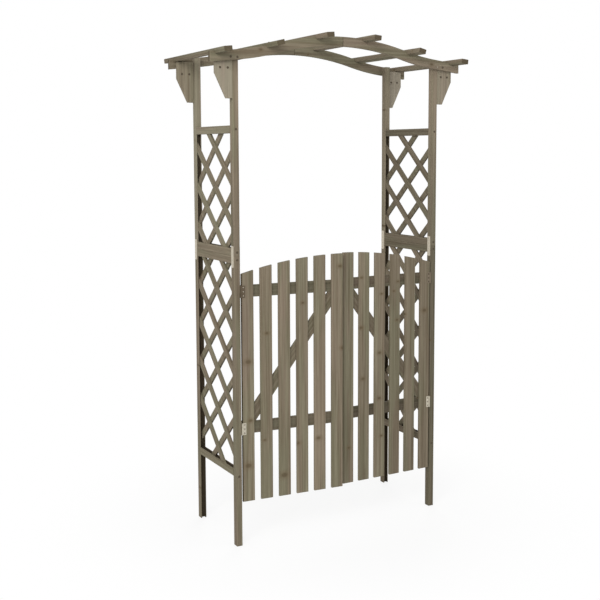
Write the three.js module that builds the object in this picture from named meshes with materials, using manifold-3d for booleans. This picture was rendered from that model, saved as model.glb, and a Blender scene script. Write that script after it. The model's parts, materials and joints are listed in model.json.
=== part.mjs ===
// Garden arch with a two-leaf picket gate.
// Millimetres: X to the right, Y to the back, Z up, with the origin on the ground in the middle.
import * as THREE from 'three';
import { mergeVertices } from 'three/addons/utils/BufferGeometryUtils.js';
import Module from 'manifold-3d';

const wasm = await Module();
wasm.setup();

// Overall sizes
const archHeight = 2040;
const archDepth = 400;
const passageWidth = 912;
const upperPostLength = 793;
const joinGap = 0.3;
const overrun = 6;
const easing = 1.2;

// Square stock that the posts and the side rails are cut from
const stockThin = 24;
const stockThick = 30;

// Side frames
const bottomRailHeight = 283;
const topRailDrop = 285.8;
const grooveDepth = 12;

// Lattice in the side frames
const latticeWidth = 25;
const latticeThickness = 8;
const crossingLap = 0.4;
const lowerCrossingRise = 166;
const lowerCrossingRun = 178.5;
const lowerCrossingDrop = 110;
const upperCrossingRise = 163;
const upperCrossingRun = 185.5;
const upperCrossingDrop = 45;
const shortestStrip = 80;

// Beams that carry the roof slats
const beamDepth = 38.5;
const beamThickness = 18;
const beamOverhang = 100;
const crownRadius = 1130;
const crownSweep = THREE.MathUtils.degToRad(15.5);
const reverseRadius = 970;
const tailSlope = THREE.MathUtils.degToRad(6.5);
const arcSteps = 14;

// Roof slats
const slatWidth = 33;
const slatThickness = 19;
const slatLength = 620;
const slatEndInset = 35;
const housingDepth = 9.5;
const slatPlaceShares = [0.2, 0.6, 1];

// Brackets under the beam ends
const boardThickness = 12;
const bracketReach = 73;
const bracketDrop = 166;
const bracketSide = 70;
const bracketFoot = 27;

// Gate leaves
const picketCount = 6;
const picketWidth = 50;
const gateBottom = 179;
const gateCrownDrop = 8;
const gateRadius = 1660;
const meetingGap = 16;
const gateRailHeight = 48;
const upperRailDrop = 132.5;
const lowerRailRise = 298;
const braceFoot = 60;
const picketSteps = 5;
const ajarLeft = THREE.MathUtils.degToRad(4.2);
const ajarRight = THREE.MathUtils.degToRad(1.15);

// Butt hinges
const hingeGap = 5;
const hingeHeight = 48;
const hingeLeafWidth = 17;
const hingeLeafThickness = 1.2;
const knuckleShare = 0.34;
const pinShare = 0.5;
const pinClearance = 0.07;
const barrelSides = 28;

// Worked-out sizes that several pieces share
const postX = (passageWidth + stockThin) / 2;
const postY = (archDepth - stockThick) / 2;
const postOuter = passageWidth / 2 + stockThin;
const railLength = archDepth - 2 * (stockThick + joinGap);
const latticeTotal = 2 * latticeThickness - crossingLap;
const grooveWidth = latticeTotal + 2 * joinGap;
const beamEnd = postOuter + beamOverhang;
const slatPlaces = slatPlaceShares.map((share) => share * (beamEnd - slatEndInset));
const crownTop = archHeight - slatRiseOverCrown();
const postTop = beamTop(postOuter).z;
const seamHeight = postTop - upperPostLength;
const topRailTop = postTop - topRailDrop;
const gateCrown = seamHeight - gateCrownDrop;
const leafWidth = (passageWidth - meetingGap) / 2 - hingeGap;
const barrelRadius = hingeGap / 2 - joinGap;
const pinRadius = barrelRadius * pinShare;
const axisX = (passageWidth - hingeGap) / 2;
const axisStand = barrelRadius + joinGap;
const axisY = -archDepth / 2 - axisStand;
const upperRailMiddle = gateCrown - upperRailDrop;
const lowerRailMiddle = gateBottom + lowerRailRise;

// Height and slope of a beam's top edge at a distance from the middle
function beamTop(x) {
  const crownReach = crownRadius * Math.sin(crownSweep);
  const crownFall = crownRadius * (1 - Math.cos(crownSweep));
  const tailReach = crownReach + reverseRadius * (Math.sin(crownSweep) - Math.sin(tailSlope));
  const tailFall = crownFall + reverseRadius * (Math.cos(tailSlope) - Math.cos(crownSweep));
  if (x < crownReach) {
    const slope = Math.asin(x / crownRadius);
    return { z: crownTop - crownRadius * (1 - Math.cos(slope)), slope };
  }
  if (x < tailReach) {
    const slope = Math.asin(Math.sin(crownSweep) - (x - crownReach) / reverseRadius);
    const fall = crownFall + reverseRadius * (Math.cos(slope) - Math.cos(crownSweep));
    return { z: crownTop - fall, slope };
  }
  return { z: crownTop - tailFall - (x - tailReach) * Math.tan(tailSlope), slope: tailSlope };
}

// How far the highest edge of a middle slat lies above the beams' crown
function slatRiseOverCrown() {
  const slope = Math.asin(slatPlaces[0] / crownRadius);
  const above = slatThickness - housingDepth;
  const inward = slatWidth / 2 - easing;
  return above * Math.cos(slope) + inward * Math.sin(slope) - crownRadius * (1 - Math.cos(slope));
}

// A three.js geometry as a closed solid for cutting and joining
function solidOf(geometry) {
  const bare = geometry.clone();
  bare.deleteAttribute('normal');
  bare.deleteAttribute('uv');
  const merged = mergeVertices(bare);
  return new wasm.Manifold(new wasm.Mesh({
    numProp: 3,
    vertProperties: new Float32Array(merged.attributes.position.array),
    triVerts: new Uint32Array(merged.index.array),
  }));
}

// A closed solid as a three.js geometry with flat faces
function geometryOf(solid) {
  const mesh = solid.getMesh();
  const geometry = new THREE.BufferGeometry();
  geometry.setAttribute('position', new THREE.BufferAttribute(mesh.vertProperties, 3));
  geometry.setIndex(new THREE.BufferAttribute(mesh.triVerts, 1));
  const flat = geometry.toNonIndexed();
  flat.computeVertexNormals();
  return flat;
}

// A block between two values on each axis
function block(xs, ys, zs) {
  const ranges = [xs, ys, zs];
  const sizes = ranges.map(([low, high]) => high - low);
  const middles = ranges.map(([low, high]) => (low + high) / 2);
  return new THREE.BoxGeometry(...sizes).translate(...middles);
}

// A bar with eased long edges that rises from the origin
function easedBar(width, depth, length) {
  const right = width / 2;
  const back = depth / 2;
  const corners = [
    [right - easing, -back], [right, easing - back],
    [right, back - easing], [right - easing, back],
    [easing - right, back], [-right, back - easing],
    [-right, easing - back], [easing - right, -back],
  ];
  const section = new THREE.Shape(corners.map(([x, y]) => new THREE.Vector2(x, y)));
  return new THREE.ExtrudeGeometry(section, { depth: length, bevelEnabled: false });
}

// A bar laid along Y with its middle at the origin
function laidBar(bar, length) {
  return bar.translate(0, 0, -length / 2).rotateX(Math.PI / 2);
}

// A board cut to an outline in the X-Z plane, with eased edges and its middle plane at Y zero
function easedBoard(outline, thickness) {
  const flat = new THREE.ExtrudeGeometry(outline, {
    depth: thickness - 2 * easing,
    bevelThickness: easing,
    bevelSize: easing,
    bevelOffset: -easing,
    bevelSegments: 1,
    curveSegments: picketSteps,
  });
  return flat.translate(0, 0, easing - thickness / 2).rotateX(Math.PI / 2);
}

// Stock with a groove along its +Y face from one height to another
function groovedStock(length, from, to) {
  const groove = block(
    [-grooveWidth / 2, grooveWidth / 2],
    [stockThick / 2 - grooveDepth, stockThick / 2 + overrun],
    [from, to],
  );
  return geometryOf(solidOf(easedBar(stockThin, stockThick, length)).subtract(solidOf(groove)));
}

// Colours of the weathered softwood and of the zinc-plated steel
function wood() {
  return new THREE.MeshStandardMaterial({ color: 0x786e5d, roughness: 0.82, metalness: 0 });
}

function zinc() {
  return new THREE.MeshStandardMaterial({ color: 0xa9a294, roughness: 0.42, metalness: 0.9 });
}

// One named piece in a group
function place(group, name, geometry, material, position, turn = [0, 0, 0]) {
  const mesh = new THREE.Mesh(geometry, material);
  mesh.name = name;
  mesh.position.set(...position);
  mesh.rotation.set(...turn);
  group.add(mesh);
}

// Left and right, front and rear, with the sign that places them
const sides = { left: -1, right: 1 };
const ends = { front: -1, rear: 1 };
const halfTurn = Math.PI;

// Posts in two lengths that meet at the seam, grooved up to the top rail for the lattice
function addPosts(arch) {
  const lowerLength = seamHeight - joinGap / 2;
  const upperStart = seamHeight + joinGap / 2;
  const upperLength = upperPostLength - joinGap / 2;
  const grooveTop = topRailTop - stockThick + grooveDepth - upperStart;
  for (const [side, x] of Object.entries(sides)) {
    for (const [end, y] of Object.entries(ends)) {
      const turn = [0, 0, end === 'rear' ? halfTurn : 0];
      const lower = groovedStock(lowerLength, -overrun, lowerLength + overrun);
      const upper = groovedStock(upperLength, -overrun, grooveTop);
      place(arch, `post_${end}_${side}_lower`, lower, wood(), [x * postX, y * postY, 0], turn);
      place(arch, `post_${end}_${side}_upper`, upper, wood(), [x * postX, y * postY, upperStart], turn);
    }
  }
}

// Rails between the posts, each grooved on the edge that takes the lattice
function addSideRails(arch) {
  const rails = [
    ['bottom', bottomRailHeight + stockThick / 2, 0],
    ['mid_lower', seamHeight - (joinGap + stockThick) / 2, halfTurn],
    ['mid_upper', seamHeight + (joinGap + stockThick) / 2, 0],
    ['top', topRailTop - stockThick / 2, halfTurn],
  ];
  for (const [side, x] of Object.entries(sides)) {
    for (const [level, z, flip] of rails) {
      const rail = laidBar(groovedStock(railLength, -overrun, railLength + overrun), railLength);
      place(arch, `side_rail_${side}_${level}`, rail, wood(), [x * postX, 0, z], [0, flip, 0]);
    }
  }
}

// One layer of slanting lattice strips, leaving out the short ones across a corner
function latticeLayer(direction, x, panel) {
  const { low, high, rise, run, crossing } = panel;
  const slope = Math.atan2(rise, run);
  const half = archDepth / 2 - stockThick;
  const reach = high - low + archDepth;
  const strip = block(
    [x - latticeThickness / 2, x + latticeThickness / 2],
    [-reach, reach],
    [-latticeWidth / 2, latticeWidth / 2],
  ).rotateX(direction * slope);
  const first = Math.floor((low - archDepth - crossing) / rise);
  const last = Math.ceil((high + archDepth - crossing) / rise);
  const strips = [];
  for (let step = first; step <= last; step += 1) {
    const z = crossing + step * rise;
    const from = Math.max(-half, (low - z) / Math.tan(slope));
    const to = Math.min(half, (high - z) / Math.tan(slope));
    if (to - from > shortestStrip * Math.cos(slope)) {
      strips.push(solidOf(strip.clone().translate(0, 0, z)));
    }
  }
  return wasm.Manifold.union(strips);
}

// Two crossed layers pinned into one panel and trimmed to the grooves of its frame
function latticePanel(panel) {
  const tongue = grooveDepth - joinGap;
  const half = archDepth / 2 - stockThick + tongue;
  const shift = (latticeThickness - crossingLap) / 2;
  const outer = latticeLayer(1, -shift, panel);
  const inner = latticeLayer(-1, shift, panel);
  const trim = solidOf(block(
    [-latticeTotal, latticeTotal],
    [-half, half],
    [panel.low - tongue, panel.high + tongue],
  ));
  const pieces = outer.add(inner).intersect(trim).decompose();
  pieces.sort((one, other) => other.volume() - one.volume());
  return geometryOf(pieces[0]);
}

// A lower and an upper lattice panel on each side
function addLattices(arch) {
  const lowerTop = seamHeight - joinGap / 2 - stockThick;
  const upperTop = topRailTop - stockThick;
  const panels = {
    lower: {
      low: bottomRailHeight + stockThick,
      high: lowerTop,
      rise: lowerCrossingRise,
      run: lowerCrossingRun,
      crossing: lowerTop - lowerCrossingDrop,
    },
    upper: {
      low: seamHeight + joinGap / 2 + stockThick,
      high: upperTop,
      rise: upperCrossingRise,
      run: upperCrossingRun,
      crossing: upperTop - upperCrossingDrop,
    },
  };
  for (const [side, x] of Object.entries(sides)) {
    for (const [level, panel] of Object.entries(panels)) {
      const turn = [0, 0, side === 'right' ? halfTurn : 0];
      place(arch, `lattice_${side}_${level}`, latticePanel(panel), wood(), [x * postX, 0, 0], turn);
    }
  }
}

// Outline of half a beam: a crown arc, a reverse arc and a straight tail, all of one depth
function beamOutline() {
  const quarter = Math.PI / 2;
  const crownCentre = crownTop - crownRadius;
  const reverseX = (crownRadius + reverseRadius) * Math.sin(crownSweep);
  const reverseZ = crownCentre + (crownRadius + reverseRadius) * Math.cos(crownSweep);
  const tailTop = beamTop(beamEnd).z;
  const outline = new THREE.Shape();
  outline.moveTo(joinGap / 2, crownTop);
  outline.absarc(0, crownCentre, crownRadius, quarter - joinGap / crownRadius, quarter - crownSweep, true);
  outline.absarc(reverseX, reverseZ, reverseRadius, -quarter - crownSweep, -quarter - tailSlope, false);
  outline.lineTo(beamEnd, tailTop);
  outline.lineTo(beamEnd, tailTop - beamDepth / Math.cos(tailSlope));
  const outerRadius = reverseRadius + beamDepth;
  outline.absarc(reverseX, reverseZ, outerRadius, -quarter - tailSlope, -quarter - crownSweep, true);
  const innerRadius = crownRadius - beamDepth;
  outline.absarc(0, crownCentre, innerRadius, quarter - crownSweep, quarter - joinGap / crownRadius, false);
  outline.lineTo(joinGap / 2, crownTop - beamDepth);
  return outline;
}

// Middle of a slat's section, let into the beams' top edges
function slatMiddle(x) {
  const { z, slope } = beamTop(x);
  const above = slatThickness / 2 - housingDepth;
  return { x: x + above * Math.sin(slope), z: z + above * Math.cos(slope), slope };
}

// The space that a slat takes out of a beam's top edge
function slatHousing(x) {
  const middle = slatMiddle(x);
  const half = slatWidth / 2 + joinGap;
  return block(
    [-half, half],
    [-beamThickness, beamThickness],
    [-slatThickness / 2 - joinGap, slatThickness + overrun],
  ).rotateY(middle.slope).translate(middle.x, 0, middle.z);
}

// Half a beam with its housings
function halfBeam() {
  const board = new THREE.ExtrudeGeometry(beamOutline(), {
    depth: beamThickness - 2 * easing,
    bevelThickness: easing,
    bevelSize: easing,
    bevelOffset: -easing,
    bevelSegments: 1,
    curveSegments: arcSteps,
  }).translate(0, 0, easing - beamThickness / 2).rotateX(Math.PI / 2);
  const cuts = slatPlaces.map((x) => solidOf(slatHousing(x)));
  return geometryOf(solidOf(board).subtract(wasm.Manifold.union(cuts)));
}

// Four half beams, on the outer faces of the posts and butted at the crown
function addBeams(arch) {
  const beamY = archDepth / 2 + joinGap + beamThickness / 2;
  for (const [end, y] of Object.entries(ends)) {
    for (const side of Object.keys(sides)) {
      const turn = [0, 0, side === 'left' ? halfTurn : 0];
      place(arch, `beam_${end}_${side}`, halfBeam(), wood(), [0, y * beamY, 0], turn);
    }
  }
}

// Six slats across the two beams, each tilted with the beams' edge
function addSlats(arch) {
  const places = [...slatPlaces.map((x) => -x).reverse(), ...slatPlaces];
  places.forEach((x, index) => {
    const side = Math.sign(x);
    const middle = slatMiddle(Math.abs(x));
    const slat = laidBar(easedBar(slatWidth, slatThickness, slatLength), slatLength);
    const turn = [0, side * middle.slope, 0];
    place(arch, `roof_slat_${index + 1}`, slat, wood(), [side * middle.x, 0, middle.z], turn);
  });
}

// Outline of a bracket, from the post's outer face to its slanted outer corner
function bracketOutline() {
  const corners = [
    [joinGap, 0], [bracketReach, 0], [bracketReach, -bracketSide],
    [bracketFoot, -bracketDrop], [joinGap, -bracketDrop],
  ];
  return new THREE.Shape(corners.map(([x, z]) => new THREE.Vector2(x, z)));
}

// Four brackets behind the beam ends, up to the undersides of the end slats
function addBrackets(arch) {
  const edge = beamTop(postOuter + bracketReach);
  const bracketTop = edge.z - housingDepth / Math.cos(edge.slope) - joinGap;
  const bracketY = (archDepth - boardThickness) / 2;
  for (const [end, y] of Object.entries(ends)) {
    for (const [side, x] of Object.entries(sides)) {
      const turn = [0, 0, side === 'left' ? halfTurn : 0];
      const spot = [x * postOuter, y * bracketY, bracketTop];
      place(arch, `bracket_${end}_${side}`, easedBoard(bracketOutline(), boardThickness), wood(), spot, turn);
    }
  }
}

// Outline of a picket whose top follows the arc that both leaves share
function picketOutline(x) {
  const half = picketWidth / 2;
  const centre = gateCrown - gateRadius;
  const outer = Math.acos((x + half) / gateRadius);
  const inner = Math.acos((x - half) / gateRadius);
  const outline = new THREE.Shape();
  outline.moveTo(-half, gateBottom);
  outline.lineTo(half, gateBottom);
  outline.absarc(-x, centre, gateRadius, outer, inner, false);
  return outline;
}

// Outline of a brace with level ends, from the hinge side at the foot to the free side at the head
function braceOutline() {
  const low = lowerRailMiddle + gateRailHeight / 2 + joinGap;
  const high = upperRailMiddle - gateRailHeight / 2 - joinGap;
  const corners = [
    [leafWidth - braceFoot, low], [leafWidth, low],
    [braceFoot, high], [0, high],
  ];
  return new THREE.Shape(corners.map(([x, z]) => new THREE.Vector2(x, z)));
}

// Knuckle or pin about a hinge's axis
function barrel(radius, from, to) {
  const cylinder = new THREE.CylinderGeometry(radius, radius, to - from, barrelSides);
  return solidOf(cylinder.rotateX(Math.PI / 2).translate(0, 0, (from + to) / 2));
}

// Hinge leaf on the post: a plate in the gap, two knuckles and the pin
function postHingeLeaf() {
  const half = hingeHeight / 2;
  const middle = hingeHeight * knuckleShare / 2;
  const plate = block([barrelRadius - hingeLeafThickness, barrelRadius], [0, hingeLeafWidth], [-half, half]);
  const notchReach = barrelRadius + overrun;
  const notchEnd = barrelRadius + joinGap;
  const notch = block([-notchReach, notchReach], [-notchReach, notchEnd], [-middle, middle]);
  const body = solidOf(plate).add(barrel(barrelRadius, -half, half)).subtract(solidOf(notch));
  return geometryOf(body.add(barrel(pinRadius, -half, half)));
}

// Hinge leaf on the gate: a plate on the picket's face and one knuckle that runs on the pin
function gateHingeLeaf() {
  const half = hingeHeight / 2;
  const middle = hingeHeight * knuckleShare / 2 - joinGap;
  const plate = block([-hingeLeafWidth, 0], [barrelRadius - hingeLeafThickness, barrelRadius], [-half, half]);
  const clear = barrelRadius + joinGap;
  const notches = [[-half - overrun, -middle], [middle, half + overrun]].map(
    ([low, high]) => solidOf(block([-clear, clear], [-clear, clear], [low, high])),
  );
  const body = solidOf(plate).subtract(wasm.Manifold.union(notches));
  const bore = barrel(pinRadius + pinClearance, -half, half);
  return geometryOf(body.add(barrel(barrelRadius, -middle, middle)).subtract(bore));
}

// One gate leaf about its hinge axis, with the hinge leaves on its post
function addLeaf(arch, side, ajar) {
  const sign = sides[side];
  const turn = [0, 0, side === 'left' ? halfTurn : 0];
  const leaf = new THREE.Group();
  leaf.position.set(sign * axisX, axisY, 0);
  leaf.rotation.z = sign * ajar;
  arch.add(leaf);
  const picketY = axisStand + boardThickness / 2;
  const railY = picketY + boardThickness + joinGap;
  const freeEdge = meetingGap / 2;
  const pitch = (leafWidth - picketWidth) / (picketCount - 1);
  for (let index = 0; index < picketCount; index += 1) {
    const x = freeEdge + leafWidth - picketWidth / 2 - index * pitch;
    const picket = easedBoard(picketOutline(x), boardThickness);
    place(leaf, `picket_${side}_${index + 1}`, picket, wood(), [sign * (x - axisX), picketY, 0], turn);
  }
  const railX = freeEdge + leafWidth / 2 - axisX;
  const halfRail = gateRailHeight / 2;
  const railOutline = new THREE.Shape([
    new THREE.Vector2(-leafWidth / 2, -halfRail), new THREE.Vector2(leafWidth / 2, -halfRail),
    new THREE.Vector2(leafWidth / 2, halfRail), new THREE.Vector2(-leafWidth / 2, halfRail),
  ]);
  const flip = [0, side === 'left' ? halfTurn : 0, 0];
  for (const [level, z] of Object.entries({ lower: lowerRailMiddle, upper: upperRailMiddle })) {
    const rail = easedBoard(railOutline, boardThickness);
    place(leaf, `gate_rail_${side}_${level}`, rail, wood(), [sign * railX, railY, z]);
    place(arch, `hinge_post_${side}_${level}`, postHingeLeaf(), zinc(), [sign * axisX, axisY, z], flip);
    place(leaf, `hinge_gate_${side}_${level}`, gateHingeLeaf(), zinc(), [0, 0, z], flip);
  }
  const brace = easedBoard(braceOutline(), boardThickness);
  place(leaf, `gate_brace_${side}`, brace, wood(), [sign * (freeEdge - axisX), railY, 0], turn);
}

const arch = new THREE.Group();
addPosts(arch);
addSideRails(arch);
addLattices(arch);
addBeams(arch);
addSlats(arch);
addBrackets(arch);
addLeaf(arch, 'left', ajarLeft);
addLeaf(arch, 'right', ajarRight);

export default arch;
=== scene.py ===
# %% [markdown]
# # A timber garden arch with a double picket gate
# The posts, rails, lattices, beams, slats, brackets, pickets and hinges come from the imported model, which is
# the fixed frame of this scene. What is made here is what the eye needs on top of it: weathered wood with its
# grain and knots, zinc-plated steel, the mending plates over the post joints, and every screw and nail.

# %% Load the frame
import json
import math
import random

import bpy
from mathutils import Euler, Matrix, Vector


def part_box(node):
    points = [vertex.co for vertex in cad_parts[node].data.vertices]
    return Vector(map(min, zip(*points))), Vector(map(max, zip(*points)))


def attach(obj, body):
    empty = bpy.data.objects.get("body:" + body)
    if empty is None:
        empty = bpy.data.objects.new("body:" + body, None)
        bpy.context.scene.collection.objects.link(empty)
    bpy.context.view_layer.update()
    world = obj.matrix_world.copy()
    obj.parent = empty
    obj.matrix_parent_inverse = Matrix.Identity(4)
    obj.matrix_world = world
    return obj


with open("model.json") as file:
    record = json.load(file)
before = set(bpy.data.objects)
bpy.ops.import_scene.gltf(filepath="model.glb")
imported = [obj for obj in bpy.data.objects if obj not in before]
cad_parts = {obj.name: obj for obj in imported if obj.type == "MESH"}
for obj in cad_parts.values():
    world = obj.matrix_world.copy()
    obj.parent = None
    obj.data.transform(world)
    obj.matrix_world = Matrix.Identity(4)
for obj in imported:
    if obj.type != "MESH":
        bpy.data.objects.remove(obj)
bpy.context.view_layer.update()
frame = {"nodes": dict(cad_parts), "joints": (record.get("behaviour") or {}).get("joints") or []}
nodes = frame["nodes"]
MM = 0.001
SIDES = (("left", -1), ("right", 1))
ENDS = (("front", -1), ("rear", 1))


def middle_of(name):
    low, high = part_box(name)
    return (Vector(low) + Vector(high)) / 2


# %% [markdown]
# ## The camera
# The view is a person's view from the left, a little over four metres away. A long lens keeps the posts nearly
# upright, and a small shift moves the picture window instead of tilting the camera further, which would make
# the posts lean together.

# %% Place the camera
EYE = Vector((-2.1084, -3.7875, 1.5697))
HEADING = 0.5276
TILT = -0.1006
LENS = 60.78
SENSOR = 36
SHIFT = (-0.0616, -0.075)

camera_data = bpy.data.cameras.new("photo_camera")
camera_data.lens = LENS
camera_data.sensor_width = SENSOR
camera_data.shift_x, camera_data.shift_y = SHIFT
camera = bpy.data.objects.new("photo_camera", camera_data)
camera.location = EYE
camera.rotation_euler = (math.pi / 2 + TILT, 0, -HEADING)
bpy.context.collection.objects.link(camera)
bpy.context.scene.camera = camera
print("camera:", [round(c, 2) for c in EYE], "lens", LENS, "mm")

# %% [markdown]
# ## A way to write node trees
# Shaders and geometry patterns are both trees of nodes. One small class adds any node by its type, its
# settings and the values or links of its sockets. A second class wraps a socket that carries a number, so that
# sums are written as sums: `1 - mask * 0.4` adds the Math nodes by itself.

# %% Tree and number classes
class Tree:
    """A node tree that is written one node at a time."""

    def __init__(self, nodes_of):
        self.tree = nodes_of

    def node(self, kind, settings=None, inputs=None):
        made = self.tree.nodes.new(kind)
        for key, value in (settings or {}).items():
            setattr(made, key, value)
        for key, value in (inputs or {}).items():
            self.feed(made.inputs[key], value)
        return made

    def feed(self, socket, value):
        value = getattr(value, "socket", value)
        if isinstance(value, bpy.types.NodeSocket):
            self.tree.links.new(value, socket)
        else:
            socket.default_value = value

    def vectors(self, operation, *values):
        """A sum of vectors: its result is a vector, and for LENGTH a number."""
        outputs = self.node("ShaderNodeVectorMath", {"operation": operation}, dict(enumerate(values))).outputs
        return Number(self, outputs["Value"]) if operation == "LENGTH" else outputs["Vector"]


class Number:
    """A number that varies over a surface, with the usual operators."""

    def __init__(self, tree, socket):
        self.tree = tree
        self.socket = socket

    def maths(self, operation, *values):
        inputs = dict(enumerate(values))
        return Number(self.tree, self.tree.node("ShaderNodeMath", {"operation": operation}, inputs).outputs[0])

    def __add__(self, other):
        return self.maths("ADD", self, other)

    def __sub__(self, other):
        return self.maths("SUBTRACT", self, other)

    def __mul__(self, other):
        return self.maths("MULTIPLY", self, other)

    def __truediv__(self, other):
        return self.maths("DIVIDE", self, other)

    def __rsub__(self, other):
        return self.maths("SUBTRACT", other, self)

    __radd__ = __add__
    __rmul__ = __mul__

    def size(self):
        return self.maths("ABSOLUTE", self)

    def wave(self):
        return self.maths("SINE", self)

    def root(self):
        return self.maths("SQRT", self)

    def lesser(self, other):
        return self.maths("MINIMUM", self, other)

    def over(self, limit):
        return self.maths("GREATER_THAN", self, limit)

    def under(self, limit):
        return self.maths("LESS_THAN", self, limit)

    def smooth(self, low, high):
        settings = {"interpolation_type": "SMOOTHSTEP"}
        inputs = {"Value": self, "From Min": low, "From Max": high}
        return Number(self.tree, self.tree.node("ShaderNodeMapRange", settings, inputs).outputs[0])


# %% [markdown]
# ## Finishes
# A finish is a material with one shader. Colours are written as they look on a screen, from 0 to 255, and turned
# into the linear values that the renderer wants. Texture coordinates are the object's own, and because every
# piece sits at the origin they are metres in the shared frame.

# %% Finish class
def linear(red, green, blue):
    values = []
    for channel in (red, green, blue):
        share = channel / 255
        values.append(share / 12.92 if share <= 0.04045 else ((share + 0.055) / 1.055) ** 2.4)
    return (*values, 1.0)


class Finish(Tree):
    """A material and the parts that its pattern is written from."""

    def __init__(self, name):
        self.material = bpy.data.materials.new(name)
        self.material.use_nodes = True
        self.material.node_tree.nodes.clear()
        super().__init__(self.material.node_tree)
        self.output = self.node("ShaderNodeOutputMaterial")

    def place(self):
        return self.node("ShaderNodeTexCoord").outputs["Object"]

    def turned(self, vector, turn, offset):
        inputs = {"Vector": vector, "Location": offset, "Rotation": turn}
        return self.node("ShaderNodeMapping", None, inputs).outputs[0]

    def stretched(self, vector, across, along):
        """Coordinates in which a pattern comes out with cells of this size in metres."""
        return self.vectors("MULTIPLY", vector, (1 / across, 1 / across, 1 / along))

    def noise(self, vector, detail=2.0, roughness=0.5):
        inputs = {"Vector": vector, "Scale": 1.0, "Detail": detail, "Roughness": roughness}
        return Number(self, self.node("ShaderNodeTexNoise", None, inputs).outputs[0])

    def parts(self, vector):
        split = self.node("ShaderNodeSeparateXYZ", None, {0: vector})
        return [Number(self, socket) for socket in split.outputs]

    def mixed(self, share, first, second):
        settings = {"data_type": "RGBA"}
        return self.node("ShaderNodeMix", settings, {0: share, 6: first, 7: second}).outputs[2]

    def scaled(self, colour, factor):
        settings = {"operation": "SCALE"}
        if isinstance(colour, tuple):
            colour = colour[:3]
        return self.node("ShaderNodeVectorMath", settings, {0: colour, "Scale": factor}).outputs[0]

    def relief(self, height, strength, depth):
        inputs = {"Height": height, "Strength": strength, "Distance": depth}
        return self.node("ShaderNodeBump", None, inputs).outputs[0]

    def finish(self, **sockets):
        inputs = {key.replace("_", " ").title().replace("Ior", "IOR"): value for key, value in sockets.items()}
        shader = self.node("ShaderNodeBsdfPrincipled", None, inputs)
        self.feed(self.output.inputs["Surface"], shader.outputs[0])
        return self.material


# %% [markdown]
# ## Weathered softwood
# The timber is small pine stock with a grey-brown stain. What makes it read as wood, from near and far, is
# that every piece differs: soft streaks run along the grain, growth rings show as faint bands, small knots sit
# here and there with the grain bent round them, and the sawn ends drank more stain. Each piece gets its own copy
# of one recipe, turned so that the grain runs along that piece, moved to its own place in the pattern, and a
# little lighter or darker than its neighbours. The alternative, one material for all, would run the same
# streaks straight through joints where one board ends and another starts.

# %% Wood recipe
STAIN = linear(123, 114, 95)
STAIN_LIGHT = linear(144, 135, 114)
STAIN_DARK = linear(96, 86, 67)
STAIN_PINK = linear(134, 118, 103)
STAIN_GREEN = linear(120, 119, 96)
BLEACHED = linear(172, 164, 152)
KNOT = linear(74, 61, 41)
KNOT_RING = linear(101, 86, 64)
END_GRAIN = linear(74, 64, 47)
SHADE = linear(46, 35, 18)
KNOT_ACROSS = 46 * MM
KNOT_ALONG = 200 * MM
KNOT_SHARE = 0.2
KNOT_RADIUS = 3.5 * MM
KNOT_SPREAD = 3 * MM
KNOT_FLATNESS = 1.5
KNOT_CORE = (0.5, 1.25)
KNOT_HALO = (0.8, 3.0)
NO_KNOT = 9
RING_STEP = 6.2 * MM
LAYER_SHIFT = Vector((0.011, 0, 2))
FAR_LAYER_SHADE = 0.18
GROOVE_SHADE = 0.85
END_FACING = 0.86
FLAT_FACING = 0.94
RELIEF_SHARE = 0.5
RELIEF_DEPTH = 0.8 * MM

# Size of the cells of each pattern, across and along the grain.
FIBRE = (2.2 * MM, 70 * MM)
PORES = (0.7 * MM, 35 * MM)
STREAK = (8 * MM, 500 * MM)
CLOUD = (50 * MM, 500 * MM)
DRIFT = (30 * MM, 280 * MM)


def scattered_knots(wood, grain):
    """How many radii away the nearest of some scattered knots is. Only a share of the cells has a knot."""
    across, _, along = wood.parts(grain)
    flat = wood.node("ShaderNodeCombineXYZ", None, {0: across / KNOT_ACROSS, 1: along / KNOT_ALONG}).outputs[0]
    settings = {"voronoi_dimensions": "2D"}
    cells = wood.node("ShaderNodeTexVoronoi", settings, {"Vector": flat, "Scale": 1.0})
    away = wood.vectors("SUBTRACT", flat, cells.outputs["Position"])
    away = wood.vectors("MULTIPLY", away, (KNOT_ACROSS, KNOT_ALONG * KNOT_FLATNESS, 0))
    chance, size, _ = wood.parts(cells.outputs["Color"])
    return wood.vectors("LENGTH", away) / (size * KNOT_SPREAD + KNOT_RADIUS) + chance.over(KNOT_SHARE) * NO_KNOT


def listed_knots(wood, place, spots):
    """How many radii away the nearest knot of a list is, each given by its X, its height and its radius in mm."""
    x, _, z = wood.parts(place)
    nearest = x.maths("ADD", NO_KNOT, 0)
    for spot_x, spot_z, radius in spots:
        away_x = (x - spot_x * MM) / (radius * MM)
        away_z = (z - spot_z * MM) * KNOT_FLATNESS / (radius * MM)
        nearest = (away_x * away_x + away_z * away_z).root().lesser(nearest)
    return nearest


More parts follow.
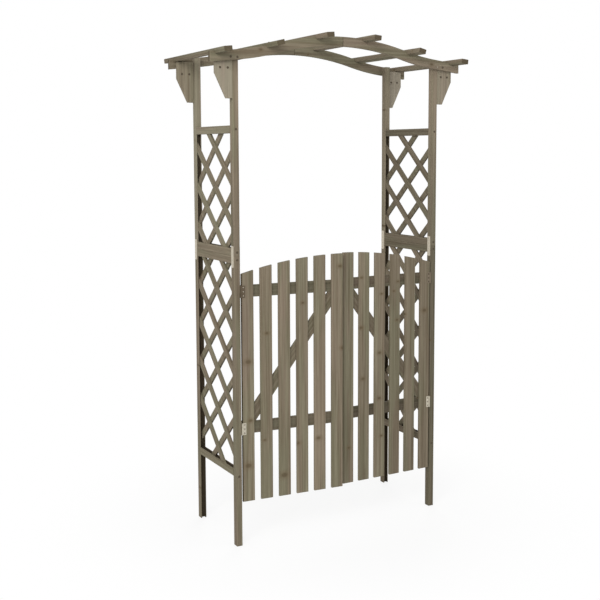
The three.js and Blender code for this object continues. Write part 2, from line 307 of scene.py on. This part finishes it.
def wood_colour(wood, grain, near_knot, tone, warm):
    """Colour of the faces, and the height of the grain for the relief.

    A tone over 1 is partly more light and partly bleached wood, which is greyer.
    """
    core = 1 - near_knot.smooth(*KNOT_CORE)
    halo = 1 - near_knot.smooth(*KNOT_HALO)
    knot_rings = (near_knot * 14).wave() * 0.15 + 0.6
    fibre = wood.noise(wood.stretched(grain, *FIBRE), 3.0, 0.6)
    pores = wood.noise(wood.stretched(grain, *PORES), 2.0, 0.6)
    streak = wood.noise(wood.stretched(grain, *STREAK), 3.0, 0.62)
    cloud = wood.noise(wood.stretched(grain, *CLOUD), 2.0, 0.5)
    drift = wood.noise(wood.stretched(grain, *DRIFT), 1.0, 0.5)
    radius = wood.vectors("LENGTH", wood.vectors("MULTIPLY", grain, (1, 1, 0)))
    rings = ((radius + drift * 0.03 + halo * 0.004) * (math.tau / RING_STEP)).wave() * 0.5 + 0.5
    colour = wood.mixed(streak.smooth(0.3, 0.62), STAIN_DARK, STAIN)
    colour = wood.mixed((streak * 0.6 + fibre * 0.4).smooth(0.5, 0.74) * 0.6, colour, STAIN_LIGHT)
    colour = wood.mixed(cloud.smooth(0.42, 0.62) * 0.4 * warm, colour, STAIN_PINK)
    colour = wood.mixed((1 - cloud).smooth(0.48, 0.66) * 0.4, colour, STAIN_GREEN)
    shade = 1.03 - rings * 0.07 - (1 - fibre).smooth(0.5, 0.72) * 0.08 - pores.smooth(0.5, 0.75) * 0.12
    pale = max(0, tone - 1)
    colour = wood.scaled(colour, shade * (tone - pale / 2))
    colour = wood.mixed(pale * 0.9, colour, BLEACHED)
    colour = wood.mixed(halo * 0.45, colour, KNOT_RING)
    colour = wood.mixed(core * knot_rings, colour, KNOT)
    return colour, fibre * 0.5 + rings * 0.3 - pores * 0.2 - core * 0.4


def wood_faces(wood, colour, turn):
    """Darkens sawn ends and wears the eased edges, told apart by which way a face looks."""
    normal = wood.node("ShaderNodeTexCoord").outputs["Normal"]
    x, y, z = [part.size() for part in wood.parts(wood.turned(normal, turn, (0, 0, 0)))]
    ends = z.over(END_FACING)
    flat_side = x.maths("MAXIMUM", x, y).smooth(END_FACING, FLAT_FACING)
    colour = wood.mixed(ends * 0.8, colour, END_GRAIN)
    return wood.mixed((1 - flat_side) * (1 - ends) * 0.2, colour, STAIN_LIGHT)


def grain_turn(along):
    """The turn that brings a direction onto Z, as angles."""
    return Vector(along).rotation_difference(Vector((0, 0, 1))).to_euler()


def piece_wood(name, along, luck, tone, spots=None, weather=None, groove=None, layers=None):
    """One piece's own wood.

    spots are its knots where they are known, and weather is two heights and the share of light under the first and
    over the second. groove is a box of shaded space, and layers is a second grain on the far side of an X.
    """
    wood = Finish("wood_" + name)
    place = wood.place()
    _, _, offset = [luck.uniform(-reach, reach) for reach in (3, 3, 9)]
    pith = Vector((luck.choice((-1, 1)) * luck.uniform(0.02, 0.05), luck.uniform(0.02, 0.05), 0))
    turn = grain_turn(along)
    middle = middle_of(name)
    middle.rotate(turn)
    start = pith - Vector((middle.x, middle.y, 0)) + Vector((0, 0, offset))
    grain = wood.turned(place, turn, start)
    if layers:
        other = wood.turned(place, grain_turn(layers["along"]), start + LAYER_SHIFT)
        far = wood.parts(place)[0].over(layers["x"])
        grain = wood.node("ShaderNodeMix", {"data_type": "VECTOR"}, {0: far, 4: grain, 5: other}).outputs[1]
    near_knot = scattered_knots(wood, grain) if spots is None else listed_knots(wood, place, spots)
    warm = luck.uniform(0.3, 1.3)
    colour, height = wood_colour(wood, grain, near_knot, tone * luck.uniform(0.96, 1.04), warm)
    if layers:
        colour = wood.scaled(colour, 1 - far * FAR_LAYER_SHADE)
    else:
        colour = wood_faces(wood, colour, turn)
    if weather:
        low, high, below, above = weather
        colour = wood.scaled(colour, wood.parts(place)[2].smooth(low, high) * (above - below) + below)
    if groove:
        inside = 1.0
        for part, (low, high) in zip(wood.parts(place), groove):
            inside = part.over(low) * part.under(high) * inside
        colour = wood.mixed(inside * GROOVE_SHADE, colour, SHADE)
    rough = 0.88 - height.smooth(0.3, 0.8) * 0.12
    relief = wood.relief(height, RELIEF_SHARE, RELIEF_DEPTH)
    return wood.finish(base_color=colour, roughness=rough, specular_ior_level=0.25, normal=relief)


# %% [markdown]
# ## Where the grain runs, and how each piece differs
# A maker cuts every piece with the grain along its length, because wood is strong that way. So posts and pickets
# have it upright, rails and slats along Y, beams along X, the brace along its slope, and the lattice strips
# in two crossed directions, one for each layer. The leaves stand ajar, so their grain turns with them.
# Boards from one pile still differ in tone, and rain and damp ground change a board along its length. So the
# tables give each piece a tone by the first words of its name, some pieces their knots (X, height and radius
# in millimetres), and some a change of tone between two heights.

# %% Tones, knots and slopes
TONES = {
    "bracket_front_left": 1.3, "bracket_front_right": 1.16, "bracket_rear_left": 1.08, "bracket_rear_right": 1.5,
    "beam_front_right": 1.01, "beam": 0.94,
    "roof_slat_1": 0.84, "roof_slat": 0.92,
    "side_rail_left_top": 1.08, "side_rail_right_mid": 0.8, "side_rail_right_top": 0.68, "side_rail": 0.99,
    "lattice_right_upper": 0.85,
    "post_front_left_upper": 1.03, "post_front_left_lower": 0.89,
    "post_front_right_upper": 1.03, "post_front_right_lower": 0.64,
    "post_rear_left_upper": 1.16, "post_rear_right_upper": 1.07, "post_rear": 0.97,
    "picket_left_1": 0.97, "picket_right_1": 0.96, "picket_right_4": 1.04, "picket_right_5": 0.97,
    "picket_right": 0.92,
    "gate_rail_left": 0.7, "gate_rail_right_lower": 0.54, "gate_rail_right_upper": 0.66,
    "gate_brace_left": 0.93, "gate_brace_right": 0.84,
}
KNOTS = {
    "picket_left_1": [(-425, 746, 12.7), (-418, 508, 8.8), (-428, 325, 14)],
    "picket_left_2": [(-346, 855, 8), (-358, 421, 6)],
    "picket_left_3": [(-273, 265, 15)],
    "picket_left_4": [(-189, 967, 7), (-213, 390, 9)],
    "picket_left_5": [(-120, 400, 10)],
    "picket_left_6": [(-22, 1108, 9), (-11, 768, 9)],
    "picket_right_6": [(35, 331, 7)],
    "picket_right_5": [(97, 1050, 7), (95, 838, 9.3), (105, 619, 9.3)],
    "picket_right_4": [(198, 975, 6), (189, 722, 9.4), (188, 525, 9.4), (200, 359, 7)],
    "picket_right_3": [(282, 1022, 6), (261, 982, 6), (278, 856, 7)],
    "picket_right_1": [(423, 886, 10.6)],
    "beam_front_left": [(-368, 1965, 7), (-233, 1957, 8)],
    "beam_front_right": [(437, 1943, 7.5)],
    "bracket_rear_left": [],
    "bracket_front_left": [],
}
WEATHER = {
    "post_front_left_upper": (1.18, 1.85, 0.79, 1.09),
    "post_front_right_upper": (1.18, 1.85, 0.79, 1.09),
    "picket_left_1": (0.6, 0.85, 1.07, 0.91),
    "picket_left_4": (0.35, 1.0, 1.05, 0.94),
    "picket_left_5": (0.35, 1.0, 1.12, 1.0),
    "picket_right_5": (0.35, 1.0, 0.96, 1.06),
    "picket_right_2": (0.3, 0.5, 0.93, 1.01),
}
STRIP_SLOPES = {"lower": 166 / 178.5, "upper": 163 / 185.5}

BRACE_FOOT = 60 * MM
GROOVE_HALF = 8.2 * MM
# Half width of the painted shade on the rear left lower post, over its groove and the land beside it.
GROOVE_SHADED_HALF = 10.5 * MM
GROOVE_DEPTH = 12.4 * MM
JOINT_LINE = 0.9 * MM
HINGE_EDGE = 1.8 * MM
FAR = 9
ALL = (-FAR, FAR)

luck = random.Random(11)
ajar = {}
for joint in frame["joints"]:
    side = joint["name"].split("_")[0]
    ajar[side] = math.radians(joint["range_deg"][0]) * (1 if side == "left" else -1)


def on_leaf(side, x, y, z=0):
    """A direction that belongs to a leaf, turned as the leaf stands ajar."""
    direction = Vector((x, y, z))
    direction.rotate(Euler((0, 0, ajar[side])))
    return direction


def groove_box(name):
    """The shaded space of a groove, of the beams' joint or of the gap beside a hinge, in the frame's metres."""
    if name.startswith("beam"):
        return [(-JOINT_LINE, JOINT_LINE), ALL, ALL]
    low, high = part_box(name)
    if name.startswith("picket_left"):
        return [(-FAR, low[0] + HINGE_EDGE), ALL, ALL]
    if name.startswith("picket_right"):
        return [(high[0] - HINGE_EDGE, FAR), ALL, ALL]
    middle = middle_of(name)
    # Painted shade: on the rear left lower post the dark covers the groove and most of the land beside it.
    half = GROOVE_SHADED_HALF if name == "post_rear_left_lower" else GROOVE_HALF
    box = [(middle.x - half, middle.x + half), ALL, ALL]
    if name.startswith("post"):
        side = "left" if "left" in name else "right"
        box[2] = (-FAR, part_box(f"side_rail_{side}_top")[0][2] + GROOVE_DEPTH)
        box[1] = (high[1] - GROOVE_DEPTH, FAR) if "front" in name else (-FAR, low[1] + GROOVE_DEPTH)
    elif name.endswith(("bottom", "mid_upper")):
        box[2] = (high[2] - GROOVE_DEPTH, FAR)
    else:
        box[2] = (-FAR, low[2] + GROOVE_DEPTH)
    return box


def grain_of(name):
    """The direction along a piece."""
    if name.startswith(("side_rail", "roof_slat")):
        return (0, 1, 0)
    if name.startswith("lattice"):
        return (0, 1, STRIP_SLOPES[name.split("_")[-1]])
    if name.startswith("gate"):
        side = name.split("_")[2]
        low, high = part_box(name)
        slope = high[2] - low[2] if "brace" in name else 0
        run = (high[0] - low[0]) - (BRACE_FOOT if "brace" in name else 0)
        return on_leaf(side, run, 0, slope if side == "left" else -slope)
    return (1, 0, 0) if name.startswith("beam") else (0, 0, 1)


def tone_of(name):
    return next((tone for start, tone in TONES.items() if name.startswith(start)), 1.0)


# %% Wood on every piece
def dress(name):
    """Gives a node its own wood."""
    layers = None
    if name.startswith("lattice"):
        low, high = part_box(name)
        layers = {"along": (0, 1, -grain_of(name)[2]), "x": (low[0] + high[0]) / 2}
    shaded = name.startswith(("post", "side_rail", "beam")) or name in ("picket_left_1", "picket_right_1")
    groove = groove_box(name) if shaded else None
    known = (KNOTS.get(name), WEATHER.get(name), groove, layers)
    nodes[name].material_slots[0].material = piece_wood(name, grain_of(name), luck, tone_of(name), *known)


wooden = sorted(name for name in nodes if not name.startswith("hinge"))
for name in wooden:
    dress(name)
print("wood on", len(wooden), "pieces")

# %% [markdown]
# ## Zinc-plated steel
# Hinges, mending plates and screws are bright zinc plate. It is a metal with a fine, uneven skin: soft cells from
# the plating bath and a few rubbed streaks. A little change of roughness does more for it than colour. The
# upper hinges were stained over with the wood, so they have a dull brown film. Rust has begun on the left one,
# where only the screws still shine.

# %% Steel finishes
def zinc(name, colour, rough, metallic=0.9):
    steel = Finish(name)
    place = steel.place()
    cells = steel.node("ShaderNodeTexVoronoi", None, {"Vector": place, "Scale": 420.0})
    cell = steel.parts(cells.outputs["Color"])[0]
    stain = steel.noise(steel.stretched(place, 0.012, 0.02), 3.0, 0.6)
    rub = steel.noise(steel.stretched(place, 0.0012, 0.03), 2.0, 0.5)
    skin = steel.scaled(colour, 0.86 + cell * 0.16 + stain * 0.12 - rub * 0.08)
    roughness = rough + cell * 0.1 + stain * 0.12
    relief = steel.relief(cell * 0.3 + rub * 0.7, 0.15, 0.0001)
    return steel.finish(base_color=skin, metallic=metallic, roughness=roughness, normal=relief)


hinge_bright = zinc("hinge_bright", linear(198, 191, 174), 0.36)
hinge_stained = zinc("hinge_stained", linear(118, 106, 88), 0.6, 0.15)
hinge_rusty = zinc("hinge_rusty", linear(88, 75, 57), 0.6, 0.15)
plate_zinc = zinc("plate_zinc", linear(200, 191, 173), 0.38)
screw_zinc = zinc("screw_zinc", linear(196, 186, 168), 0.4)
screw_dull = zinc("screw_dull", linear(92, 78, 58), 0.55, 0.4)
for name in nodes:
    if name.startswith("hinge"):
        stained = {"left_upper": hinge_rusty, "right_upper": hinge_stained}
        nodes[name].material_slots[0].material = stained.get(name.split("_", 2)[2], hinge_bright)


def dark_recess():
    # Painted shade: a dark brown, mottled a little, that stands for the shade in screw recesses and in the sunk
    # holes round heads.
    recess = Finish("screw_recess")
    shade_mottle = recess.noise(recess.stretched(recess.place(), 0.002, 0.002), 2.0, 0.5)
    colour = recess.mixed(shade_mottle, linear(38, 33, 26), linear(66, 56, 42))
    return recess.finish(base_color=colour, roughness=0.8)


screw_dark = dark_recess()
steels = (hinge_bright, hinge_stained, hinge_rusty, plate_zinc, screw_zinc, screw_dull, screw_dark)
print("steel finishes:", [steel.name for steel in steels])

# %% [markdown]
# ## Mending plates
# Each post comes in two lengths. A flat steel strap with four screws holds them together over the seam, on the
# two faces that look along X. The strap is one outline with rounded corners and four holes, so it is
# drawn as curves, filled, given its thickness, and set on eight places by a Geometry Nodes tree.

# %% Geometry pattern helpers
class Pattern(Tree):
    """A Geometry Nodes tree with named inputs."""

    def __init__(self, name, sizes):
        super().__init__(bpy.data.node_groups.new(name, "GeometryNodeTree"))
        face = self.tree.interface
        face.new_socket("Places", in_out="INPUT", socket_type="NodeSocketGeometry")
        for label, value in sizes.items():
            kind = "NodeSocketInt" if isinstance(value, int) else "NodeSocketFloat"
            face.new_socket(label, in_out="INPUT", socket_type=kind).default_value = value
        face.new_socket("Pieces", in_out="OUTPUT", socket_type="NodeSocketGeometry")
        self.given = self.node("NodeGroupInput").outputs
        self.output = self.node("NodeGroupOutput")

    def number(self, value):
        return Number(self, value)

    def vector(self, x, y, z):
        return self.node("ShaderNodeCombineXYZ", None, {0: x, 1: y, 2: z}).outputs[0]

    def moved(self, geometry, x, y, z):
        inputs = {"Geometry": geometry, "Translation": self.vector(x, y, z)}
        return self.node("GeometryNodeTransform", None, inputs).outputs[0]

    def joined(self, *geometries):
        join = self.node("GeometryNodeJoinGeometry")
        for geometry in reversed(geometries):
            self.tree.links.new(geometry, join.inputs[0])
        return join.outputs[0]

    def on_places(self, instance):
        """The instance on every point, with its Z turned to the point's facing."""
        facing = self.node("GeometryNodeInputNamedAttribute", {"data_type": "FLOAT_VECTOR"}, {"Name": "facing"})
        turn = self.node("FunctionNodeAlignRotationToVector", {"axis": "Z"}, {"Vector": facing.outputs[0]})
        inputs = {"Points": self.given["Places"], "Instance": instance, "Rotation": turn.outputs[0]}
        placed = self.node("GeometryNodeInstanceOnPoints", None, inputs)
        return self.node("GeometryNodeRealizeInstances", None, {0: placed.outputs[0]}).outputs[0]


def made_by(name, pattern, places, body, settings=None):
    """Bakes a pattern on a list of places and facings into one plain piece that rides on a body."""
    cloud = bpy.data.meshes.new(name + "_places")
    cloud.from_pydata([place for place, _ in places], [], [])
    facing = cloud.attributes.new("facing", "FLOAT_VECTOR", "POINT")
    for entry, (_, direction) in zip(facing.data, places):
        entry.vector = direction
    holder = bpy.data.objects.new(name + "_holder", cloud)
    bpy.context.collection.objects.link(holder)
    modifier = holder.modifiers.new("pattern", "NODES")
    modifier.node_group = pattern.tree
    for item in pattern.tree.interface.items_tree:
        if item.name in (settings or {}):
            modifier[item.identifier] = settings[item.name]
    ready = holder.evaluated_get(bpy.context.evaluated_depsgraph_get())
    piece = bpy.data.objects.new(name, bpy.data.meshes.new_from_object(ready))
    bpy.data.objects.remove(holder)
    bpy.context.collection.objects.link(piece)
    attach(piece, body)
    print(name + ":", len(places), "places,", len(piece.data.polygons), "faces")


# %% Mending plates
PLATE_LONG = 85.5 * MM
PLATE_WIDE = 21 * MM
PLATE_THICK = 1.5 * MM
PLATE_CORNER = 5 * MM
PLATE_MIDDLE = 1165 * MM
HOLE_RADIUS = 2.3 * MM
HOLE_SHARES = (-0.38, -0.15, 0.15, 0.38)
SEAT = 0.3 * MM


def strap_pattern():
    """A flat strap with rounded corners and four holes, lying in X-Y with its long side along X."""
    strap = Pattern("strap", {"Length": PLATE_LONG, "Width": PLATE_WIDE, "Thickness": PLATE_THICK})
    inputs = {"Width": strap.given["Length"], "Height": strap.given["Width"]}
    outline = strap.node("GeometryNodeCurvePrimitiveQuadrilateral", None, inputs).outputs[0]
    inputs = {"Curve": outline, "Radius": PLATE_CORNER, "Count": 5}
    rounded = strap.node("GeometryNodeFilletCurve", {"mode": "POLY"}, inputs).outputs[0]
    hole = strap.node("GeometryNodeCurvePrimitiveCircle", None, {"Resolution": 14, "Radius": HOLE_RADIUS}).outputs[0]
    length = strap.number(strap.given["Length"])
    holes = [strap.moved(hole, length * share, 0.0, 0.0) for share in HOLE_SHARES]
    sheet = strap.node("GeometryNodeFillCurve", {"mode": "TRIANGLES"}, {0: strap.joined(rounded, *holes)}).outputs[0]
    inputs = {"Mesh": sheet, "Offset Scale": strap.given["Thickness"], "Individual": False}
    raised = strap.node("GeometryNodeExtrudeMesh", {"mode": "FACES"}, inputs)
    back = strap.node("GeometryNodeFlipFaces", None, {0: sheet}).outputs[0]
    closed = strap.node("GeometryNodeMergeByDistance", None, {0: strap.joined(raised.outputs[0], back)}).outputs[0]
    inputs = {"Geometry": strap.on_places(closed), "Material": plate_zinc}
    strap.feed(strap.output.inputs[0], strap.node("GeometryNodeSetMaterial", None, inputs).outputs[0])
    return strap


def strap_places():
    """Both X faces of each post, at the seam."""
    places = []
    for end, _ in ENDS:
        for side, _ in SIDES:
            low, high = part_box(f"post_{end}_{side}_lower")
            middle = (low[1] + high[1]) / 2
            places.append(((low[0] - SEAT, middle, PLATE_MIDDLE), (-1, 0, 0)))
            places.append(((high[0] + SEAT, middle, PLATE_MIDDLE), (1, 0, 0)))
    return places


made_by("mending_plates", strap_pattern(), strap_places(), "arch")

# %% [markdown]
# ## Screws and nails
# A screw is seen only by its head. On steel it is a low bright dome, and in soft wood it pulls itself in and shows a
# dull head.
# Every head has a dark cross of painted shade for its cross-shaped recess, and a flat ring of painted shade round it
# that stands for the shade in its hole. One Geometry Nodes tree makes both from a frustum, a cross and a flat ring,
# and sets them on every place.
# The places follow from how such an arch is put together: screws through every joint, four in each strap, three in
# each half of a hinge, from behind two through a gate rail into each picket and one through the brace, and a nail in
# each crossing of the lattice.
# One screw over the front right post came after the stain and is still bright.

# %% Head pattern
HEAD = {"Radius": 3.4 * MM, "Height": 1.2 * MM, "Sides": 14}
TOP_SHARE = 0.62
CROSS_LONG = 0.95
CROSS_NARROW = 0.24
CROSS_THICK = 0.2
CROSS_RISE = 0.93
RING_THICK = 0.5


def head_pattern(name, steel, ring):
    """Screw heads: a low frustum with a dark cross and a dark ring, both painted shade; the ring has the given share
    of the radius.
    """
    head = Pattern(name, HEAD)
    radius = head.number(head.given["Radius"])
    height = head.number(head.given["Height"])
    sides = head.given["Sides"]
    inputs = {"Vertices": sides, "Radius Top": radius * TOP_SHARE, "Radius Bottom": radius, "Depth": height}
    dome = head.node("GeometryNodeMeshCone", None, inputs).outputs[0]
    long = radius * CROSS_LONG
    narrow = radius * CROSS_NARROW
    dark = []
    # Painted shade: the dark cross stands for the shade in the head's recess.
    for across, up in ((long, narrow), (narrow, long)):
        size = head.vector(across, up, height * CROSS_THICK)
        bar = head.node("GeometryNodeMeshCube", None, {"Size": size}).outputs[0]
        dark.append(head.moved(bar, 0.0, 0.0, height * CROSS_RISE))
    # Painted shade: the flat dark ring round the head stands for the shade in its hole.
    inputs = {"Vertices": sides, "Radius": radius * ring, "Depth": height * RING_THICK}
    dark.append(head.node("GeometryNodeMeshCylinder", None, inputs).outputs[0])
    settings = {"data_type": "BOOLEAN", "domain": "FACE"}
    inputs = {"Geometry": head.joined(*dark), "Name": "recess", "Value": True}
    shaded = head.node("GeometryNodeStoreNamedAttribute", settings, inputs).outputs[0]
    solid = head.on_places(head.joined(dome, shaded))
    shiny = head.node("GeometryNodeSetMaterial", None, {"Geometry": solid, "Material": steel}).outputs[0]
    recess = head.node("GeometryNodeInputNamedAttribute", {"data_type": "BOOLEAN"}, {"Name": "recess"})
    inputs = {"Geometry": shiny, "Selection": recess.outputs[0], "Material": screw_dark}
    head.feed(head.output.inputs[0], head.node("GeometryNodeSetMaterial", None, inputs).outputs[0])
    return head


bright_heads = head_pattern("bright_heads", screw_zinc, 1.3)
sunk_heads = head_pattern("sunk_heads", screw_dull, 1.35)
print("head patterns:", bright_heads.tree.name, sunk_heads.tree.name)


# %% Screws of the arch
LEVELS = (("bottom", 12 * MM), ("mid_lower", 0), ("mid_upper", 0), ("top", 0))
BEAM_SCREW_DROP = 28 * MM
BEAM_SCREW_SHIFTS = (-1 * MM, 27 * MM)
BRACKET_SCREW_DROP = 50 * MM
BRACKET_SCREW_SHARES = (0.26, 0.7)
FRESH_SCREW = Vector((0.467, -0.2183, 1.9329))
SLAT_WIDE = 33 * MM
SLAT_THICK = 19 * MM


def frame_screws():
    """Through the posts into the rails' ends, and through the beams into the posts and brackets."""
    places = []
    for side, sign in SIDES:
        for end, out in ENDS:
            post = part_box(f"post_{end}_{side}_lower")
            face = post[0][1] if out < 0 else post[1][1]
            x = (post[0][0] + post[1][0]) / 2
            for level, drop in LEVELS:
                z = middle_of(f"side_rail_{side}_{level}").z - drop
                places.append(((x, face, z), (0, out, 0)))
            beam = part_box(f"beam_{end}_{side}")
            beam_face = beam[0][1] if out < 0 else beam[1][1]
            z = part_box(f"post_{end}_{side}_upper")[1][2] - BEAM_SCREW_DROP
            for shift in BEAM_SCREW_SHIFTS:
                places.append(((x + sign * shift, beam_face, z), (0, out, 0)))
    return places


def bracket_screws():
    """Two through each bracket, seen on both its faces."""
    places = []
    for side, sign in SIDES:
        for end, _ in ENDS:
            low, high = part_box(f"bracket_{end}_{side}")
            z = high[2] - BRACKET_SCREW_DROP
            for share in BRACKET_SCREW_SHARES:
                x = low[0] + (high[0] - low[0]) * (share if sign > 0 else 1 - share)
                places.append(((x, low[1], z), (0, -1, 0)))
                places.append(((x, high[1], z), (0, 1, 0)))
    return places


def slat_tilt(high):
    """The tilt at which a slat's section fills a box of this height."""
    steps = [math.radians(step / 10) for step in range(0, 300)]
    return min(steps, key=lambda turn: abs(SLAT_WIDE * math.sin(turn) + SLAT_THICK * math.cos(turn) - high))


def slat_screws():
    """One down through each slat into each beam, square to the tilted slat."""
    places = []
    reach = middle_of("beam_rear_right").y
    for number in range(1, 7):
        low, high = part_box(f"roof_slat_{number}")
        middle = middle_of(f"roof_slat_{number}")
        tilt = slat_tilt(high[2] - low[2]) * (1 if middle.x > 0 else -1)
        up = Vector((math.sin(tilt), 0, math.cos(tilt)))
        for y in (-reach, reach):
            places.append((Vector((middle.x, y, middle.z)) + up * SLAT_THICK / 2, up))
    return places


arch_places = frame_screws() + bracket_screws() + slat_screws()
fresh_place = min(arch_places, key=lambda place: (Vector(place[0]) - FRESH_SCREW).length)
arch_places.remove(fresh_place)
made_by("screws_arch", sunk_heads, arch_places, "arch")


# %% Screws of the mending plates and the hinges
BARREL = 2.2 * MM
PLATE_OF_HINGE = 1.2 * MM
HINGE_SCREW_STEP = 16.5 * MM
SCREW_REACH = 9.8 * MM
STRAP_SCREW_SEAT = 0.6
SMALL_HEAD = {"Radius": 2.6 * MM, "Height": 0.8 * MM}
axes = {joint["name"].split("_")[0]: Vector(joint["pos_m"]) for joint in frame["joints"]}


def strap_screws():
    places = []
    for place, facing in strap_places():
        for share in HOLE_SHARES:
            spot = Vector(place) + Vector(facing) * PLATE_THICK * STRAP_SCREW_SEAT
            places.append((spot + Vector((0, 0, share * PLATE_LONG)), facing))
    return places


def leaf_point(side, inward, back, height):
    """A point on a leaf as it stands ajar, from its distance to the hinge axis inward and to the back."""
    sign = 1 if side == "left" else -1
    return Vector((axes[side].x, axes[side].y, height)) + on_leaf(side, sign * inward, back)


def hinge_screws(side, half, levels=("lower", "upper")):
    """Three screws in one half of each hinge on a side: half is gate or post."""
    places = []
    sign = 1 if side == "left" else -1
    for level in levels:
        height = middle_of(f"hinge_{half}_{side}_{level}").z
        for step in (-1, 0, 1):
            z = height + step * HINGE_SCREW_STEP
            if half == "gate":
                places.append((leaf_point(side, SCREW_REACH, BARREL - PLATE_OF_HINGE, z), on_leaf(side, 0, -1)))
            else:
                x = axes[side].x - sign * (BARREL - PLATE_OF_HINGE)
                places.append(((x, axes[side].y + SCREW_REACH, z), (sign, 0, 0)))
    return places


steel_places = strap_screws() + hinge_screws("left", "post") + hinge_screws("right", "post") + [fresh_place]
made_by("screws_steel", bright_heads, steel_places, "arch", SMALL_HEAD)
made_by("hinge_screws_left", bright_heads, hinge_screws("left", "gate"), "left_leaf", SMALL_HEAD)
made_by("hinge_screws_right", bright_heads, hinge_screws("right", "gate", ["lower"]), "right_leaf", SMALL_HEAD)
made_by("hinge_screws_stained", sunk_heads, hinge_screws("right", "gate", ["upper"]), "right_leaf", SMALL_HEAD)


# %% Screws behind the gate rails and braces
BOARD_THICK = 12 * MM
RAIL_SCREW_RISE = 11 * MM
RAIL_HEAD = {"Radius": 2.8 * MM}
PICKETS = range(1, 7)


def rail_screws(side):
    """From behind: two through each rail into every picket, and one through the brace into those it crosses."""
    places = []
    along = on_leaf(side, 1, 0)
    back = on_leaf(side, 0, 1)
    for level in ("lower", "upper"):
        rail = middle_of(f"gate_rail_{side}_{level}")
        for number in PICKETS:
            shift = (middle_of(f"picket_{side}_{number}") - rail).dot(along)
            for rise in (-RAIL_SCREW_RISE, RAIL_SCREW_RISE):
                spot = rail + along * shift + back * BOARD_THICK / 2 + Vector((0, 0, rise))
                places.append((spot, back))
    brace = middle_of(f"gate_brace_{side}")
    sloped = grain_of(f"gate_brace_{side}")
    sloped /= sloped.to_2d().length
    for number in PICKETS[1:-1]:
        shift = (middle_of(f"picket_{side}_{number}") - brace).dot(along)
        places.append((brace + sloped * shift + back * BOARD_THICK / 2, back))
    return places


for side, _ in SIDES:
    made_by(f"rail_screws_{side}", sunk_heads, rail_screws(side), f"{side}_leaf", RAIL_HEAD)


# %% Nails of the lattice
# Height and depth between crossings of the same strips, and how far the first one is under the panel's top.
CROSSINGS = {"lower": (166 * MM, 178.5 * MM, 110 * MM), "upper": (163 * MM, 185.5 * MM, 45 * MM)}
TONGUE = 11.7 * MM
ROWS = range(-12, 3)
NAIL_HEAD = {"Radius": 1.5 * MM, "Height": 0.6 * MM}


def lattice_nails():
    """A nail in each crossing, on the face that looks outward."""
    places = []
    for side, out in SIDES:
        for level, (rise, run, drop) in CROSSINGS.items():
            low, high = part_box(f"lattice_{side}_{level}")
            top = high[2] - TONGUE
            face = low[0] if out < 0 else high[0]
            for row in ROWS:
                z = top - drop + row * rise / 2
                if not low[2] + 2 * TONGUE < z < top - TONGUE:
                    continue
                for column in (-1, 0, 1):
                    if (row + column) % 2 == 0:
                        places.append(((face, column * run / 2, z), (out, 0, 0)))
    return places


made_by("lattice_nails", sunk_heads, lattice_nails(), "arch", NAIL_HEAD)

# %% [markdown]
# ## The floor and the light
# A product picture stands on white paper under large soft lamps. The world gives even light from all around, one
# large lamp from the left front gives the faces their shape, and two more from the right front and from behind
# keep the turned faces from going dark. The floor fades to white away from the feet, so only the soft shadow
# stays.

# %% Floor
FLOOR_REACH = 9.0
WHITE = (1.0, 1.0, 1.0, 1.0)
PAPER = linear(236, 236, 236)
SHADOW_SHARE = 0.16
SHADOW_ENDS = (0.45, 1.3)


def in_view(tree):
    """One for the rays that look at a surface, straight or by a mirror, and zero for those that light others."""
    rays = tree.node("ShaderNodeLightPath").outputs
    seen = Number(tree, rays["Is Camera Ray"])
    seen = seen.maths("MAXIMUM", seen, rays["Is Glossy Ray"])
    return seen.maths("MAXIMUM", seen, rays["Is Transmission Ray"])


def paper():
    """White paper: it takes the shadow near the feet and is plain white further out."""
    sheet = Finish("paper")
    reach = sheet.vectors("LENGTH", sheet.place())
    dull = sheet.node("ShaderNodeBsdfDiffuse", None, {"Color": PAPER}).outputs[0]
    lit = sheet.node("ShaderNodeEmission", None, {"Color": WHITE, "Strength": 1.0}).outputs[0]
    share = (reach.smooth(*SHADOW_ENDS) * SHADOW_SHARE + (1 - SHADOW_SHARE)) * in_view(sheet)
    mix = sheet.node("ShaderNodeMixShader", None, {0: share, 1: dull, 2: lit}).outputs[0]
    sheet.feed(sheet.output.inputs["Surface"], mix)
    return sheet.material


corners = [(x * FLOOR_REACH, y * FLOOR_REACH, 0) for x, y in ((-1, -1), (1, -1), (1, 1), (-1, 1))]
floor_mesh = bpy.data.meshes.new("floor")
floor_mesh.from_pydata(corners, [], [(0, 1, 2, 3)])
floor_mesh.materials.append(paper())
floor = bpy.data.objects.new("floor", floor_mesh)
bpy.context.collection.objects.link(floor)
print("floor:", 2 * FLOOR_REACH, "m across")

# %% World and lamps
SKY = 0.62
AIM = Vector((0, 0, 1))
LAMPS = {  # place, power in watts and width in metres
    "key_lamp": ((-3.0, -2.8, 3.1), 128, 2.0),
    "fill_lamp": ((3.6, -3.4, 2.2), 25, 3.0),
    "back_lamp": ((2.6, 4.2, 3.0), 110, 2.6),
}


def studio_world():
    """White wherever it is seen, and a little less in the light that it gives."""
    world = bpy.data.worlds.new("studio")
    world.use_nodes = True
    world.node_tree.nodes.clear()
    sky = Tree(world.node_tree)
    strength = in_view(sky) * (1 - SKY) + SKY
    light = sky.node("ShaderNodeBackground", None, {"Color": WHITE, "Strength": strength}).outputs[0]
    output = sky.node("ShaderNodeOutputWorld")
    sky.feed(output.inputs["Surface"], light)
    bpy.context.scene.world = world


def soft_lamp(name, place, power, width):
    lamp_data = bpy.data.lights.new(name, "AREA")
    lamp_data.energy = power
    lamp_data.size = width
    lamp = bpy.data.objects.new(name, lamp_data)
    lamp.location = place
    lamp.rotation_euler = (AIM - Vector(place)).to_track_quat("-Z", "Y").to_euler()
    bpy.context.collection.objects.link(lamp)


studio_world()
for name, (place, power, width) in LAMPS.items():
    soft_lamp(name, place, power, width)
bpy.context.scene.view_settings.view_transform = "Standard"
print("lamps:", list(LAMPS))
